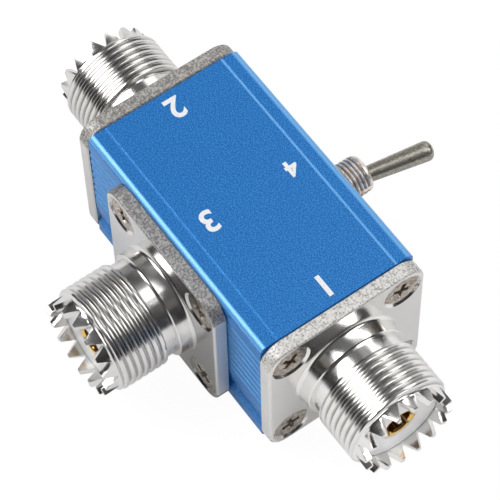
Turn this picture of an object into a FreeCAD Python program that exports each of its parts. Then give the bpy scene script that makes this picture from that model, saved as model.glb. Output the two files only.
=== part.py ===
# Two-way coaxial antenna switch: a small extruded aluminium box with a flanged
# UHF socket on three sides and a bat-handle toggle switch on the fourth.
# Millimetres. +X runs through the two antenna sockets, -Y points out of the
# transmitter socket, +Y out of the toggle, +Z up. Z = 0 is the resting plane.
import FreeCAD, Part
import math
import os

V = FreeCAD.Vector

# ---------------------------------------------------------------- driving sizes
FLANGE = 25.4            # square socket flange; the box is as high as the flange
BODY_L = 40.6            # box length along X
SIDE_STEP = 0.2          # the flanges stand this far proud of the box's sides
BODY_R = 1.15            # rounding of the box's long edges
WALL = 1.5               # extrusion wall
FLANGE_T = 2.2           # flange thickness
FLANGE_R = 3.0           # flange corner rounding
FLANGE_EDGE = 0.35       # rounding of the flange's front edge
SCREW_INSET = 3.6        # flange screws, from the flange's edges
THREAD_R = 15.875 / 2.0  # 5/8-24 UHF thread, major radius
BUSH_R = 2.9             # toggle bushing thread, major radius
BUSH_OUT = 7.0           # bushing length outside the box wall
LEVER_TILT = 11.0        # degrees, lever at rest leans towards +X
ROCKER_TILT = 9.0        # degrees, rocker at rest, -X wing down

# ---------------------------------------------------------------- named clearances
FIT = 0.05               # running fit, radial, and small assembly gaps
SEAT = 0.02              # gap between faces that are clamped together
FREE = 0.30              # free air between pieces that only pass each other

# ---------------------------------------------------------------- derived levels
BODY_H = FLANGE
BODY_W = FLANGE - 2 * SIDE_STEP
SCREW_AT = FLANGE / 2.0 - SCREW_INSET
ZC = BODY_H / 2.0        # height of all three socket axes and of the toggle axis
HW = BODY_W / 2.0
HH = BODY_H / 2.0
HL = BODY_L / 2.0
IN_Y = HW - WALL         # inner faces of the side walls
IN_Z = HH - WALL         # inner faces of top and bottom, from the axis

# side ribs: shallow V grooves between plain bands
RIB_PITCH = 1.67
RIB_COUNT = 12
RIB_HALF = 0.46
RIB_DEPTH = 0.26
# one hairline V groove along each long edge of top and bottom
LINE_INSET = 2.82
LINE_HALF = 0.17
LINE_DEPTH = 0.20
LINE_AT = HW - LINE_INSET

# screws, and the channels for them in the corners of the extrusion
SCREW_R = 1.47
HEAD_R = 2.75
HEAD_H = HEAD_R - SCREW_R
SINK_R = 3.05            # mouth of the countersink
CROSS_REACH = 1.5        # the head's cross recess: arm length, half width and depth
CROSS_HALF = 0.36
CROSS_DEEP = 0.9
END_SCREW_L = 8.0
SIDE_SCREW_L = 6.0
CHANNEL_BORE = SCREW_R + FIT
CHANNEL_R = 2.35
CHANNEL_SLOT = 1.6

# the joint between the two half shells lies in the bottom of a side groove
SEAM_Z = -RIB_PITCH / 2.0
LIP_H = 0.9
LIP_T = 0.6

# socket barrel, from the flange's front face outwards
BOSS_R = 8.0
BOSS_LEN = 2.4
BOSS_ROOT = 0.35         # fillet where the barrel meets the flange
NECK_R = 7.35
NECK_LEN = 1.8
THREAD_LEN = 7.36
THREAD_PITCH = 25.4 / 24.0
THREAD_TURNS = 7
THREAD_DEPTH = 0.35      # of the V between two crests
THREAD_CREST = 0.60      # flat on each crest
LEAD_LEN = 0.54          # cone between thread and crown
CROWN_R = 7.28
CROWN_LEN = 2.0
CROWN_TEETH = 16
VALLEY_HALF = 0.12       # half width of a notch at its bottom
MOUTH_HALF = 1.165       # and at the crown's end
BORE_R = 6.2
REAR_BORE_R = 4.5
REAR_R = 5.6
REAR_LEN = 2.6
REAR_ROOM = 0.2          # spigot in the box wall
STEP_UP = 0.8            # shoulder in the bore, from the flange's front face
BOSS_END = FLANGE_T + BOSS_LEN
THREAD_START = BOSS_END + NECK_LEN
THREAD_END = THREAD_START + THREAD_LEN
CROWN_BASE = THREAD_END + LEAD_LEN
CROWN_TIP = CROWN_BASE + CROWN_LEN
SHOULDER = FLANGE_T + STEP_UP

# insulator and centre contact
BEAD_SINK = 0.1          # insulator face below the crown's notches
CONTACT_SINK = 0.25
CONTACT_R = 2.7
CONTACT_BORE = 2.05
CONTACT_DEEP = 8.6
SLOT_LEN = 6.0
SLOT_HALF = 0.22
STEP_BACK = 1.0          # contact shoulder, from the bore's shoulder
SHANK_R = 1.6
CUP_END = -6.5
CUP_BORE = 1.1
CUP_DEEP = 2.9
CUP_OPEN = 2.2
CONTACT_FRONT = CROWN_BASE - CONTACT_SINK
CONTACT_BACK = SHOULDER + STEP_BACK

# toggle switch, from the box wall inwards
WASHER_T = 0.4           # keyed washer inside the wall
COLLAR_T = 0.4           # collar at the bushing's inner end
COLLAR_R = 3.6
FRAME_T = 0.5            # steel strap across the case
STRAP_T = 0.4            # its legs down the two long sides
STRAP_X = 3.0
CASE_H = 9.0
CASE_X = 6.5
CASE_Z = 3.9
CASE_WALL = 1.05
FLOOR_T = 1.3
SEAL_T = 0.5
KEY_HALF = 0.4           # half the width of the keyway's tongue

# toggle switch, outside the wall
LOCK_T = 0.5
LOCK_R = 4.6
NUT_FLATS = 8.0
NUT_T = 2.0
THROAT_R = 1.8           # narrowest part of the bushing's bore
CHAMBER_R = 2.3          # room around the pivot ball

# lever, plunger and spring, measured from the pivot
PIVOT_DEPTH = 3.5        # pivot below the bushing's rim
LEVER_LEN = 14.0
LEVER_NECK_R = 1.12
LEVER_TIP_R = 1.53
BALL_R = 2.0
PIN_R = 0.4
TAIL_R = 0.9
TAIL_HEAD_R = 1.5
TAIL_HEAD = -7.0
TAIL_END = -10.0
SPRING_SEAT = -7.4
PLUNGER_R = 0.95
PLUNGER_BACK = -9.0
PLUNGER_STROKE = 0.25
TIP_GAP = 0.08           # nose of the plunger to the trough, lever upright
SPRING_WIRE = 0.11
SPRING_COIL = 0.72
SPRING_TURNS = 3.0

# contacts and terminals
FULCRUM_UP = 2.5         # fulcrum above the underside of the case
FULCRUM_R = 0.4
TERM_X = 4.7
TERM_T = 0.8
TERM_W = 2.0
WIRE_ROOM = 1.9          # from the transmitter's solder cup to the terminals' ends
EYE_R = 0.62
EYE_UP = 1.1
ROCKER_UP = 0.8          # bottom of the trough above the fulcrum
ROCKER_T = 0.45
ROCKER_ARC = 4.7
ROCKER_HALF = 2.3
TROUGH_X = 2.45
WING_X = 4.7
WIRE_R = 0.5
WIRE_IN = 2.3            # length of wire inside a solder cup
WIRE_TAIL = 0.9          # wire left standing beyond a terminal's eye
WIRE_BEND = 2.3          # straight length before a terminal

# toggle switch levels along Y
BUSH_TOP = HW + BUSH_OUT
BUSH_BOTTOM = IN_Y - COLLAR_T - WASHER_T
PIVOT_Y = BUSH_TOP - PIVOT_DEPTH
CASE_TOP = BUSH_BOTTOM - FRAME_T
CASE_BOTTOM = CASE_TOP - CASE_H
CAVITY_X = CASE_X - CASE_WALL
CAVITY_Z = CASE_Z - CASE_WALL
FULCRUM_Y = CASE_BOTTOM + FULCRUM_UP
TERM_OUT = -HW - CUP_END + WIRE_ROOM
EYE_Y = TERM_OUT + EYE_UP
ROCKER_TOP = FULCRUM_Y + ROCKER_UP
NUT_BASE = HW + LOCK_T + SEAT
NUT_TOP = NUT_BASE + NUT_T
TIP_S = -(PIVOT_Y - ROCKER_TOP - TIP_GAP)


# ---------------------------------------------------------------- small helpers
def save(shape, name):
    shape.exportStep("parts/" + name + ".step")
    print(name, "volume", round(shape.Volume, 2), "solids", len(shape.Solids))


def box(x0, x1, y0, y1, z0, z1):
    return Part.makeBox(x1 - x0, y1 - y0, z1 - z0, V(x0, y0, z0))


def rod(r, start, end):
    along = end.sub(start)
    return Part.makeCylinder(r, along.Length, start, along)


def turned(points):
    """Solid of revolution about X from (x, r) points of a closed outline."""
    outline = Part.makePolygon([V(x, r, 0) for x, r in points + points[:1]])
    return Part.Face(outline).revolve(V(0, 0, 0), V(1, 0, 0), 360)


def plate(points, z0, z1):
    """Flat outline in X and Y, extruded from z0 to z1."""
    outline = Part.makePolygon([V(x, y, z0) for x, y in points + points[:1]])
    return Part.Face(outline).extrude(V(0, 0, z1 - z0))


def at_axis(shape):
    """Lift a piece drawn about the axis plane to its height in the box."""
    placed = shape.copy()
    placed.translate(V(0, 0, ZC))
    return placed


# ---------------------------------------------------------------- extruded shells
def groove_points(centres, half, depth, face, along_z):
    """Corner points of V grooves cut into one face of the section."""
    points = []
    for c in centres:
        for off, d in ((-half, 0.0), (0.0, depth), (half, 0.0)):
            inner = face - math.copysign(d, face)
            points.append((inner, c + off) if along_z else (c + off, inner))
    return points


def section_wire():
    """Outer outline of the extrusion in Y and Z, with ribs and hairlines."""
    ribs = [RIB_PITCH * (i - (RIB_COUNT - 1) / 2.0) for i in range(RIB_COUNT)]
    lines = [-LINE_AT, LINE_AT]
    r = BODY_R
    right = [(HW, -HH + r)] + groove_points(ribs, RIB_HALF, RIB_DEPTH, HW, True) + [(HW, HH - r)]
    top = groove_points(lines, LINE_HALF, LINE_DEPTH, HH, False)
    top = [(HW - r, HH)] + top[::-1] + [(-HW + r, HH)]
    left = [(-y, z) for y, z in right][::-1]
    bottom = [(y, -z) for y, z in top][::-1]
    sides = [right, top, left, bottom]
    edges = []
    for i, side in enumerate(sides):
        for a, b in zip(side[:-1], side[1:]):
            edges.append(Part.makeLine(V(-HL, a[0], a[1]), V(-HL, b[0], b[1])))
        a = side[-1]
        b = sides[(i + 1) % 4][0]
        cy = math.copysign(HW - r, a[0])
        cz = math.copysign(HH - r, a[1])
        k = r / math.sqrt(2.0)
        mid = V(-HL, cy + math.copysign(k, cy), cz + math.copysign(k, cz))
        edges.append(Part.Arc(V(-HL, a[0], a[1]), mid, V(-HL, b[0], b[1])).toShape())
    return Part.Wire(edges)


def hollow_wire():
    """Outline of the room inside, with a round-nosed boss kept in each corner."""
    near = SCREW_AT - CHANNEL_R
    k = SCREW_AT - CHANNEL_R / math.sqrt(2.0)
    edges = []
    last = None
    for sy, sz in ((1, 1), (-1, 1), (-1, -1), (1, -1)):
        side = [V(-HL, sy * IN_Y, sz * near), V(-HL, sy * SCREW_AT, sz * near)]
        top = [V(-HL, sy * near, sz * SCREW_AT), V(-HL, sy * near, sz * IN_Z)]
        if sy != sz:
            side, top = top[::-1], side[::-1]
        if last is None:
            first = side[0]
        else:
            edges.append(Part.makeLine(last, side[0]))
        edges.append(Part.makeLine(side[0], side[1]))
        edges.append(Part.Arc(side[1], V(-HL, sy * k, sz * k), top[0]).toShape())
        edges.append(Part.makeLine(top[0], top[1]))
        last = top[1]
    edges.append(Part.makeLine(last, first))
    return Part.Wire(edges)


def extrusion():
    """The whole box before it is cut into two half shells."""
    run = V(BODY_L, 0, 0)
    body = Part.Face(section_wire()).extrude(run).cut(Part.Face(hollow_wire()).extrude(run))
    for sy in (-1, 1):
        for sz in (-1, 1):
            c = V(-HL, sy * SCREW_AT, sz * SCREW_AT)
            body = body.cut(Part.makeCylinder(CHANNEL_BORE, BODY_L, c, V(1, 0, 0)))
            # the channel is open towards the middle of the box, as an extrusion is
            slot = box(-HL, HL, -CHANNEL_SLOT / 2, CHANNEL_SLOT / 2, -CHANNEL_R - 1, 0)
            slot.rotate(V(0, 0, 0), V(1, 0, 0), -45 * sy if sz > 0 else -135 * sy)
            slot.translate(V(0, sy * SCREW_AT, sz * SCREW_AT))
            body = body.cut(slot)
    # round openings for the transmitter socket, its screws and the toggle
    body = body.cut(rod(REAR_R + REAR_ROOM, V(0, -HW - 1, 0), V(0, -IN_Y + 0.5, 0)))
    body = body.cut(rod(BUSH_R + 2 * FIT, V(0, IN_Y - 0.5, 0), V(0, HW + 1, 0)))
    for sx in (-1, 1):
        for sz in (-1, 1):
            body = body.cut(rod(CHANNEL_BORE, V(sx * SCREW_AT, -HW - 1, sz * SCREW_AT),
                                V(sx * SCREW_AT, -HW + SIDE_SCREW_L - FLANGE_T + 1, sz * SCREW_AT)))
    return body


def half_shells():
    """Cut the extrusion in the bottom of a groove; a lip locates the halves."""
    body = extrusion()
    big = 100.0
    lower_zone = box(-big, big, -big, big, -big, SEAM_Z)
    lip = box(-big, big, -IN_Y - LIP_T, IN_Y + LIP_T, SEAM_Z, SEAM_Z + LIP_H)
    recess = box(-big, big, -IN_Y - LIP_T - FIT, IN_Y + LIP_T + FIT, SEAM_Z - 1, SEAM_Z + LIP_H + FIT)
    lower = body.common(lower_zone.fuse(lip))
    upper = body.cut(box(-big, big, -big, big, -big, SEAM_Z + SEAT)).cut(recess)
    return at_axis(upper), at_axis(lower)


# ---------------------------------------------------------------- coaxial sockets
# Each socket is drawn on +X with its mounting plane at x = 0, then placed.
def thread_outline():
    """The 24-per-inch thread as parallel ridges, one to a turn, with 60 degree flanks."""
    root = THREAD_R - THREAD_DEPTH
    flank = THREAD_DEPTH * math.tan(math.radians(30))
    points = []
    for k in range(THREAD_TURNS):
        x = THREAD_START + k * THREAD_PITCH
        points += [(x, root), (x + flank, THREAD_R), (x + flank + THREAD_CREST, THREAD_R),
                   (x + 2 * flank + THREAD_CREST, root)]
    return points


def socket_shell(tip_angle):
    """Flange, stepped barrel, toothed crown and rear spigot in one piece."""
    h = FLANGE / 2.0
    flange = box(0, FLANGE_T, -h, h, -h, h)
    upright = [e for e in flange.Edges if abs(e.tangentAt(e.FirstParameter).x) > 0.9]
    flange = flange.makeFillet(FLANGE_R, upright)
    front = [e for e in flange.Edges if e.CenterOfMass.x > FLANGE_T - 0.01]
    flange = flange.makeFillet(FLANGE_EDGE, front)
    barrel = turned([
        (-REAR_LEN, REAR_BORE_R), (-REAR_LEN, REAR_R), (0.0, REAR_R), (0.0, BOSS_R),
        (FLANGE_T, BOSS_R + BOSS_ROOT), (FLANGE_T + BOSS_ROOT, BOSS_R), (BOSS_END - 0.15, BOSS_R),
        (BOSS_END, BOSS_R - 0.15), (BOSS_END, NECK_R), (THREAD_START, NECK_R)]
        + thread_outline() + [
        (CROWN_BASE, CROWN_R + 0.1), (CROWN_TIP, CROWN_R), (CROWN_TIP, BORE_R),
        (SHOULDER, BORE_R), (SHOULDER, REAR_BORE_R)])
    shell = flange.cut(rod(BOSS_R - 1.0, V(-1, 0, 0), V(FLANGE_T + 1, 0, 0))).fuse(barrel)
    # V notches leave the locking teeth
    pitch = 360.0 / CROWN_TEETH
    over = 1.1
    far = CROWN_BASE + over * CROWN_LEN
    wide = VALLEY_HALF + over * (MOUTH_HALF - VALLEY_HALF)
    for k in range(CROWN_TEETH):
        notch = plate([(CROWN_BASE, -VALLEY_HALF), (far, -wide), (far, wide), (CROWN_BASE, VALLEY_HALF)],
                      BORE_R - 0.6, THREAD_R + 0.6)
        # drawn standing on +Z, so turn it from 90 degrees to the valley's angle
        notch.rotate(V(0, 0, 0), V(1, 0, 0), tip_angle + pitch * (k + 0.5) - 90.0)
        shell = shell.cut(notch)
    # countersunk screw holes
    hole = SCREW_R + FIT
    for y, z in screw_places():
        sink = turned([(-0.5, 0.0), (-0.5, hole), (FLANGE_T - SINK_R + hole, hole),
                       (FLANGE_T + 0.5, SINK_R + 0.5), (FLANGE_T + 0.5, 0.0)])
        sink.translate(V(0, y, z))
        shell = shell.cut(sink)
    return shell.removeSplitter()


def screw_places():
    return [(sy * SCREW_AT, sz * SCREW_AT) for sy in (-1, 1) for sz in (-1, 1)]


def insulator():
    """White PTFE bead that fills the socket around the contact."""
    r = CONTACT_R + FIT
    return turned([
        (-REAR_LEN, SHANK_R + FIT), (-REAR_LEN, REAR_BORE_R - FIT), (SHOULDER + FIT, REAR_BORE_R - FIT),
        (SHOULDER + FIT, BORE_R - FIT), (CROWN_BASE - BEAD_SINK, BORE_R - FIT),
        (CROWN_BASE - BEAD_SINK, r + 0.15), (CONTACT_FRONT, r), (CONTACT_BACK - FIT, r),
        (CONTACT_BACK - FIT, SHANK_R + FIT)])


def contact():
    """Slotted centre socket with a solder cup behind."""
    body = turned([
        (CUP_END, CUP_BORE), (CUP_END, SHANK_R), (CONTACT_BACK, SHANK_R), (CONTACT_BACK, CONTACT_R),
        (CONTACT_FRONT - 0.2, CONTACT_R), (CONTACT_FRONT, CONTACT_R - 0.2),
        (CONTACT_FRONT, CONTACT_BORE + 0.3), (CONTACT_FRONT - 0.4, CONTACT_BORE),
        (CONTACT_FRONT - CONTACT_DEEP, CONTACT_BORE), (CONTACT_FRONT - CONTACT_DEEP, 0.0),
        (CUP_END + CUP_DEEP, 0.0), (CUP_END + CUP_DEEP, CUP_BORE)])
    for turn in (0, 90):
        slot = box(CONTACT_FRONT - SLOT_LEN, CONTACT_FRONT + 1, -SLOT_HALF, SLOT_HALF, -4, 4)
        slot.rotate(V(0, 0, 0), V(1, 0, 0), 45 + turn)
        body = body.cut(slot)
    # the cup is cut away above, so a wire can be laid in and soldered
    return body.cut(box(CUP_END - 1, CUP_END + CUP_OPEN, -3, 3, 0.35, 3))


def screw_set(length):
    """Four cross-slotted countersunk screws, their heads seated below the flange face."""
    top = FLANGE_T - (SINK_R - HEAD_R - FIT)
    one = turned([(top, 0.0), (top, HEAD_R), (top - HEAD_H, SCREW_R), (top - length + 0.5, SCREW_R),
                  (top - length, SCREW_R - 0.5), (top - length, 0.0)])
    for a, b in ((CROSS_HALF, CROSS_REACH), (CROSS_REACH, CROSS_HALF)):
        one = one.cut(box(top - CROSS_DEEP, top + 1, -a, a, -b, b))
    group = []
    for y, z in screw_places():
        s = one.copy()
        s.translate(V(0, y, z))
        group.append(s)
    return Part.makeCompound(group)


def place_socket(shape, where):
    """Turn and move a socket piece from its drawing to its side of the box."""
    s = shape.copy()
    if where == "ant2":
        s.rotate(V(0, 0, 0), V(0, 0, 1), 180)
        s.translate(V(-HL, 0, ZC))
    elif where == "tx":
        s.rotate(V(0, 0, 0), V(0, 0, 1), -90)
        s.translate(V(0, -HW, ZC))
    else:
        s.translate(V(HL, 0, ZC))
    return s


# ---------------------------------------------------------------- toggle switch
# Turned toggle pieces are drawn along X, from their own (y, r) outline, and
# then stood up along +Y.
def turned_y(points):
    s = turned(points)
    s.rotate(V(0, 0, 0), V(0, 0, 1), 90)
    return s


def hexagon(flats, y0, y1):
    corner = flats / math.sqrt(3.0)
    ring = [V(corner * math.cos(math.radians(60 * k)), y0, corner * math.sin(math.radians(60 * k)))
            for k in range(7)]
    return Part.Face(Part.makePolygon(ring)).extrude(V(0, y1 - y0, 0))


def toggle_bushing():
    """Threaded neck with a collar; its bore lets the lever swing."""
    top = BUSH_TOP
    low = BUSH_BOTTOM + SEAT
    collar = BUSH_BOTTOM + COLLAR_T
    body = turned_y([
        (low, CHAMBER_R), (low, COLLAR_R), (collar, COLLAR_R), (collar, BUSH_R), (top - 0.4, BUSH_R),
        (top, BUSH_R - 0.35), (top, THROAT_R + 0.3), (top - 1.6, THROAT_R), (top - 1.9, THROAT_R),
        (PIVOT_Y + 0.4, CHAMBER_R)])
    pin_hole = rod(PIN_R + SEAT, V(0, PIVOT_Y, -4), V(0, PIVOT_Y, 4))
    # keyway along the thread, on the +X side
    key = box(BUSH_R - 0.35, BUSH_R + 1, collar, top + 1, -KEY_HALF - FIT, KEY_HALF + FIT)
    return at_axis(body.cut(pin_hole).cut(key))


def toggle_frame():
    """Folded steel strap that holds the case to the bushing."""
    z = CASE_Z + FIT
    top = box(-CASE_X, CASE_X, CASE_TOP, BUSH_BOTTOM, -z - STRAP_T, z + STRAP_T)
    frame = top.cut(rod(CHAMBER_R + FREE, V(0, CASE_TOP - 1, 0), V(0, BUSH_BOTTOM + 1, 0)))
    for s in (-1, 1):
        a, b = sorted((s * z, s * (z + STRAP_T)))
        frame = frame.fuse(box(-STRAP_X, STRAP_X, CASE_BOTTOM - FIT - STRAP_T, CASE_TOP, a, b))
        # each leg's end is folded in under the case
        a, b = sorted((s * (CASE_Z - 0.95), s * (z + STRAP_T)))
        frame = frame.fuse(box(-STRAP_X, STRAP_X, CASE_BOTTOM - FIT - STRAP_T, CASE_BOTTOM - FIT, a, b))
    return at_axis(frame.removeSplitter())


def terminal_slots(grow):
    h = TERM_T / 2 + grow
    w = TERM_W / 2 + grow
    cut = None
    for x in (-TERM_X, 0, TERM_X):
        slot = box(x - h, x + h, CASE_BOTTOM - SEAL_T - 1, CASE_BOTTOM + FLOOR_T + 1, -w, w)
        cut = slot if cut is None else cut.fuse(slot)
    return cut


def toggle_case():
    """Moulded case, open to the frame, with slots for the terminals."""
    body = box(-CASE_X, CASE_X, CASE_BOTTOM, CASE_TOP - SEAT, -CASE_Z, CASE_Z)
    sides = [e for e in body.Edges if abs(e.tangentAt(e.FirstParameter).y) > 0.9]
    body = body.makeFillet(0.5, sides)
    body = body.cut(box(-CAVITY_X, CAVITY_X, CASE_BOTTOM + FLOOR_T, CASE_TOP + 1, -CAVITY_Z, CAVITY_Z))
    return at_axis(body.cut(terminal_slots(SEAT)))


def terminal_seal():
    """Thin bed of resin around the terminals, under the case floor."""
    x = CASE_X - 0.8
    z = CASE_Z - 0.95 - FREE
    body = box(-x, x, CASE_BOTTOM - SEAL_T, CASE_BOTTOM - SEAT, -z, z)
    return at_axis(body.cut(terminal_slots(SEAT)))


def terminal(x, top, rounded):
    """Flat solder terminal with an eye; the middle one ends in the fulcrum."""
    h = TERM_T / 2
    w = TERM_W / 2
    body = box(x - h, x + h, TERM_OUT, top, -w, w)
    if rounded:
        body = body.fuse(rod(FULCRUM_R, V(x, top, -w), V(x, top, w))).removeSplitter()
    eye = rod(EYE_R, V(x - 2, EYE_Y, 0), V(x + 2, EYE_Y, 0))
    return at_axis(body.cut(eye))


def rocker():
    """Rocking contact: a curved trough with a wing each side, -X wing down."""
    w = ROCKER_HALF
    cy = ROCKER_TOP + ROCKER_ARC
    strip = rod(ROCKER_ARC + ROCKER_T, V(0, cy, -w), V(0, cy, w))
    strip = strip.cut(rod(ROCKER_ARC, V(0, cy, -w - 1), V(0, cy, w + 1)))
    strip = strip.common(box(-TROUGH_X, TROUGH_X, cy - 2 * ROCKER_ARC, cy, -w, w))
    wing_top = cy - math.sqrt(ROCKER_ARC ** 2 - TROUGH_X ** 2)
    for s in (-1, 1):
        a, b = sorted((s * (TROUGH_X - 0.25), s * WING_X))
        strip = strip.fuse(box(a, b, wing_top - ROCKER_T, wing_top, -w, w))
    strip = strip.cut(rod(ROCKER_ARC, V(0, cy, -w - 1), V(0, cy, w + 1)))
    strip = strip.cut(rod(FULCRUM_R + FIT, V(0, FULCRUM_Y, -w - 1), V(0, FULCRUM_Y, w + 1)))
    strip = strip.removeSplitter()
    strip.rotate(V(0, FULCRUM_Y, 0), V(0, 0, 1), ROCKER_TILT)
    return at_axis(strip)


# Lever pieces are drawn upright: s is measured from the pivot, outwards is +.
def lean(shape):
    """Stand a lever piece on the pivot and lean it to its rest position."""
    s = shape.copy()
    s.translate(V(0, PIVOT_Y, ZC))
    s.rotate(V(0, PIVOT_Y, ZC), V(0, 0, 1), -LEVER_TILT)
    return s


def lever():
    """Bat handle, pivot ball and hollow tail in one turned piece."""
    tip = LEVER_LEN
    r = LEVER_TIP_R
    neck = LEVER_NECK_R
    bore = PLUNGER_R + FIT
    body = turned_y([
        (TAIL_END, bore), (TAIL_END, TAIL_HEAD_R), (TAIL_HEAD, TAIL_HEAD_R), (TAIL_HEAD, TAIL_R),
        (0.0, TAIL_R), (BALL_R - 0.1, neck), (PIVOT_DEPTH + 1.2, neck + 0.12), (tip - 1.0, r),
        (tip - 0.55, r - 0.09), (tip - 0.22, r - 0.37), (tip - 0.05, r - 0.8), (tip, r - 1.17),
        (tip, 0.0), (SPRING_SEAT, 0.0), (SPRING_SEAT, bore)])
    body = body.fuse(Part.makeSphere(BALL_R, V(0, 0, 0))).removeSplitter()
    return lean(body.cut(rod(PIN_R + FIT, V(0, 0, -4), V(0, 0, 4))))


def pivot_pin():
    half = BUSH_R - 0.25
    return at_axis(rod(PIN_R, V(0, PIVOT_Y, -half), V(0, PIVOT_Y, half)))


def plunger():
    """Moulded plunger with a rounded nose that rides in the rocker's trough."""
    r = PLUNGER_R
    n = TIP_S
    return lean(turned_y([(PLUNGER_BACK, 0.0), (PLUNGER_BACK, r), (n + 0.9, r), (n + 0.28, 0.55),
                          (n + 0.1, 0.36), (n + 0.02, 0.15), (n, 0.0)]))


def spring():
    """Compression spring between the plunger and the bottom of the tail bore."""
    low = PLUNGER_BACK + PLUNGER_STROKE + SPRING_WIRE + FIT
    high = SPRING_SEAT - SPRING_WIRE - FIT
    helix = Part.makeHelix((high - low) / SPRING_TURNS, high - low, SPRING_COIL)
    profile = Part.Wire(Part.makeCircle(SPRING_WIRE, V(SPRING_COIL, 0, 0), V(0, 1, 0.1)))
    body = Part.Wire(helix).makePipeShell([profile], True, False)
    body.rotate(V(0, 0, 0), V(1, 0, 0), -90)
    body.translate(V(0, low, 0))
    return lean(body)


def outer_nut():
    corner = NUT_FLATS / math.sqrt(3.0)
    edge = NUT_FLATS / 2 + 0.1
    chamfer = turned_y([
        (NUT_BASE, 0.0), (NUT_BASE, edge), (NUT_BASE + 0.35, corner + 0.1),
        (NUT_TOP - 0.35, corner + 0.1), (NUT_TOP, edge), (NUT_TOP, 0.0)])
    body = hexagon(NUT_FLATS, NUT_BASE, NUT_TOP).common(chamfer)
    return at_axis(body.cut(rod(BUSH_R + FIT, V(0, HW, 0), V(0, NUT_TOP + 1, 0))))


def lock_washer():
    """Outside lock washer with gaps between its teeth."""
    body = rod(LOCK_R, V(0, HW + SEAT, 0), V(0, HW + LOCK_T, 0))
    body = body.cut(rod(BUSH_R + FIT, V(0, HW - 1, 0), V(0, HW + 2, 0)))
    for k in range(10):
        gap = box(LOCK_R - 1.0, LOCK_R + 1, HW - 1, HW + 2, -0.35, 0.35)
        gap.rotate(V(0, 0, 0), V(0, 1, 0), 36 * k + 18)
        body = body.cut(gap)
    return at_axis(body)


def inner_washer():
    """Keyed washer between the bushing's collar and the box wall."""
    y0 = BUSH_BOTTOM + COLLAR_T + SEAT
    y1 = IN_Y - SEAT
    body = rod(COLLAR_R + 0.8, V(0, y0, 0), V(0, y1, 0))
    body = body.cut(rod(BUSH_R + FIT, V(0, y0 - 1, 0), V(0, y1 + 1, 0)))
    key = box(BUSH_R - 0.25, BUSH_R + 0.5, y0, y1, -KEY_HALF, KEY_HALF)
    return at_axis(body.fuse(key).removeSplitter())


# ---------------------------------------------------------------- hook-up wires
def bent_wire(points):
    """Round bare wire through the given points of the axis plane."""
    curve = Part.BSplineCurve()
    curve.interpolate([V(x, y, 0) for x, y in points])
    path = Part.Wire(curve.toShape())
    first = curve.value(curve.FirstParameter)
    along = curve.tangent(curve.FirstParameter)[0]
    ring = Part.Wire(Part.makeCircle(WIRE_R, first, along))
    return at_axis(path.makePipeShell([ring], True, False))


def antenna_wire(s):
    cup = HL + CUP_END
    return bent_wire([(s * (cup + WIRE_IN), 0), (s * (cup + 0.4 * WIRE_IN), 0),
                      (s * (cup - 0.5 * WIRE_BEND), -0.7 * WIRE_R),
                      (s * (TERM_X + 1.7 * WIRE_BEND), EYE_Y + 0.6 * WIRE_R),
                      (s * (TERM_X + WIRE_BEND), EYE_Y), (s * (TERM_X + WIRE_TAIL), EYE_Y),
                      (s * (TERM_X - WIRE_TAIL), EYE_Y)])


def tx_wire():
    x = TERM_T / 2 + WIRE_R + FIT
    cup = -HW - CUP_END
    end = CASE_BOTTOM - SEAL_T - 2 * FREE
    return bent_wire([(0, cup - WIRE_IN), (0, cup - 0.4 * WIRE_IN), (0.1 * x, cup + 0.05 * WIRE_IN),
                      (0.87 * x, TERM_OUT - 0.7 * WIRE_R), (x, TERM_OUT + 0.6 * WIRE_R),
                      (x, (TERM_OUT + end) / 2), (x, end)])


# ---------------------------------------------------------------- build
os.makedirs("parts", exist_ok=True)
upper, lower = half_shells()
save(upper, "upper_shell")
save(lower, "lower_shell")
CROWN_ANGLE = {"ant1": 16.6, "ant2": 9.0, "tx": 20.4}
bead = insulator()
pin_socket = contact()
for where in ("ant1", "ant2", "tx"):
    save(place_socket(socket_shell(CROWN_ANGLE[where]), where), where + "_connector")
    save(place_socket(bead, where), where + "_insulator")
    save(place_socket(pin_socket, where), where + "_contact")
    length = SIDE_SCREW_L if where == "tx" else END_SCREW_L
    save(place_socket(screw_set(length), where), where + "_screws")
save(toggle_bushing(), "toggle_bushing")
save(toggle_frame(), "toggle_frame")
save(toggle_case(), "toggle_case")
save(terminal_seal(), "terminal_seal")
save(terminal(0, FULCRUM_Y, True), "common_terminal")
side_top = FULCRUM_Y + 0.25
save(terminal(TERM_X, side_top, False), "ant1_side_terminal")
save(terminal(-TERM_X, side_top, False), "ant2_side_terminal")
save(rocker(), "rocker_contact")
save(lever(), "toggle_lever")
save(pivot_pin(), "pivot_pin")
save(plunger(), "plunger")
save(spring(), "plunger_spring")
save(outer_nut(), "outer_nut")
save(lock_washer(), "lock_washer")
save(inner_washer(), "inner_washer")
save(antenna_wire(1), "ant1_wire")
save(antenna_wire(-1), "ant2_wire")
save(tx_wire(), "tx_wire")
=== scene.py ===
# %% [markdown]
# # A coaxial antenna switch
# The real thing is a short box of blue anodised aluminium with a nickel-plated
# UHF socket on three sides and a small toggle switch on the fourth. The packed
# CAD model is loaded first as a fixed frame. Everything below dresses it: pieces
# whose shape is already right only get a finish, and pieces that need threads,
# teeth or finer edges are modelled anew in the same place.

# %% Load the frame
import math

import bmesh
import bpy
from mathutils import Matrix, Vector


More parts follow.
